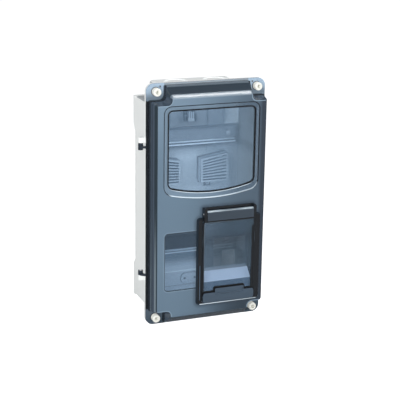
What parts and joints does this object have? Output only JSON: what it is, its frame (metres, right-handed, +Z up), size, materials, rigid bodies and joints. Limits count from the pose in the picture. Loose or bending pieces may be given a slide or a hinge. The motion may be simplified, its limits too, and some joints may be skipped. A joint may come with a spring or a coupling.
{
  "type": "electric meter box",
  "caption": "Wall box for an electricity meter and breakers, with a hinged smoked see-through cover and a small hinged flap over the breakers.",
  "frame": {"origin": "on the wall plane, in the middle of the four wall screw holes", "axes": "+Z up along the box, +Y into the wall, +X to the right seen from the front"},
  "size_m": [0.2372, 0.1467, 0.45],
  "materials": {
    "light_grey_plastic": "satin moulded",
    "inner_grey_plastic": "satin moulded",
    "smoked_cover_plastic": "smoked see-through, frosted panel",
    "smoked_flap_plastic": "smoked see-through, polished",
    "white_screw_plastic": "moulded",
    "plated_rail_steel": "zinc plated",
    "bright_steel": "zinc plated",
    "soft_rubber": "matt"
  },
  "bodies": {
    "back_box": {"base_housing": "light_grey_plastic", "cover_gasket": "soft_rubber", "cover_hinge_pin_upper": "bright_steel", "cover_hinge_pin_lower": "bright_steel", "upper_din_rail": "plated_rail_steel", "lower_din_rail": "plated_rail_steel", "upper_rail_screws": "bright_steel", "lower_rail_screws": "bright_steel", "meter_hook": "inner_grey_plastic", "meter_hook_screw": "bright_steel", "meter_support_left": "inner_grey_plastic", "meter_support_right": "inner_grey_plastic", "meter_support_screws": "bright_steel"},
    "front_cover": {"cover": "smoked_cover_plastic", "cover_screw_seals": "soft_rubber", "door_hinge_pin_left": "bright_steel", "door_hinge_pin_right": "bright_steel"},
    "flap": {"breaker_door": "smoked_flap_plastic", "breaker_door_seal": "soft_rubber"},
    "screw_top_left": {"cover_screw_top_left": "white_screw_plastic"},
    "screw_top_right": {"cover_screw_top_right": "white_screw_plastic"},
    "screw_bottom_left": {"cover_screw_bottom_left": "white_screw_plastic"},
    "screw_bottom_right": {"cover_screw_bottom_right": "white_screw_plastic"}
  },
  "joints": [
    {"name": "cover_hinge", "type": "hinge", "parent": "back_box", "child": "front_cover", "pos_m": [-0.1194, -0.0887, 0], "axis": [0, 0, -1], "range_deg": [0, 115]},
    {"name": "flap_hinge", "type": "hinge", "parent": "front_cover", "child": "flap", "pos_m": [0.03315, -0.1411, -0.0092], "axis": [-1, 0, 0], "range_deg": [0, 110]},
    {"name": "screw_top_left_turn", "type": "hinge", "parent": "front_cover", "child": "screw_top_left", "pos_m": [-0.0962, -0.1018, 0.211], "axis": [0, 1, 0], "range_deg": [-90, 0]},
    {"name": "screw_top_right_turn", "type": "hinge", "parent": "front_cover", "child": "screw_top_right", "pos_m": [0.0962, -0.1018, 0.211], "axis": [0, 1, 0], "range_deg": [-90, 0]},
    {"name": "screw_bottom_left_turn", "type": "hinge", "parent": "front_cover", "child": "screw_bottom_left", "pos_m": [-0.0962, -0.1018, -0.211], "axis": [0, 1, 0], "range_deg": [-90, 0]},
    {"name": "screw_bottom_right_turn", "type": "hinge", "parent": "front_cover", "child": "screw_bottom_right", "pos_m": [0.0962, -0.1018, -0.211], "axis": [0, 1, 0], "range_deg": [-90, 0]}
  ]
}
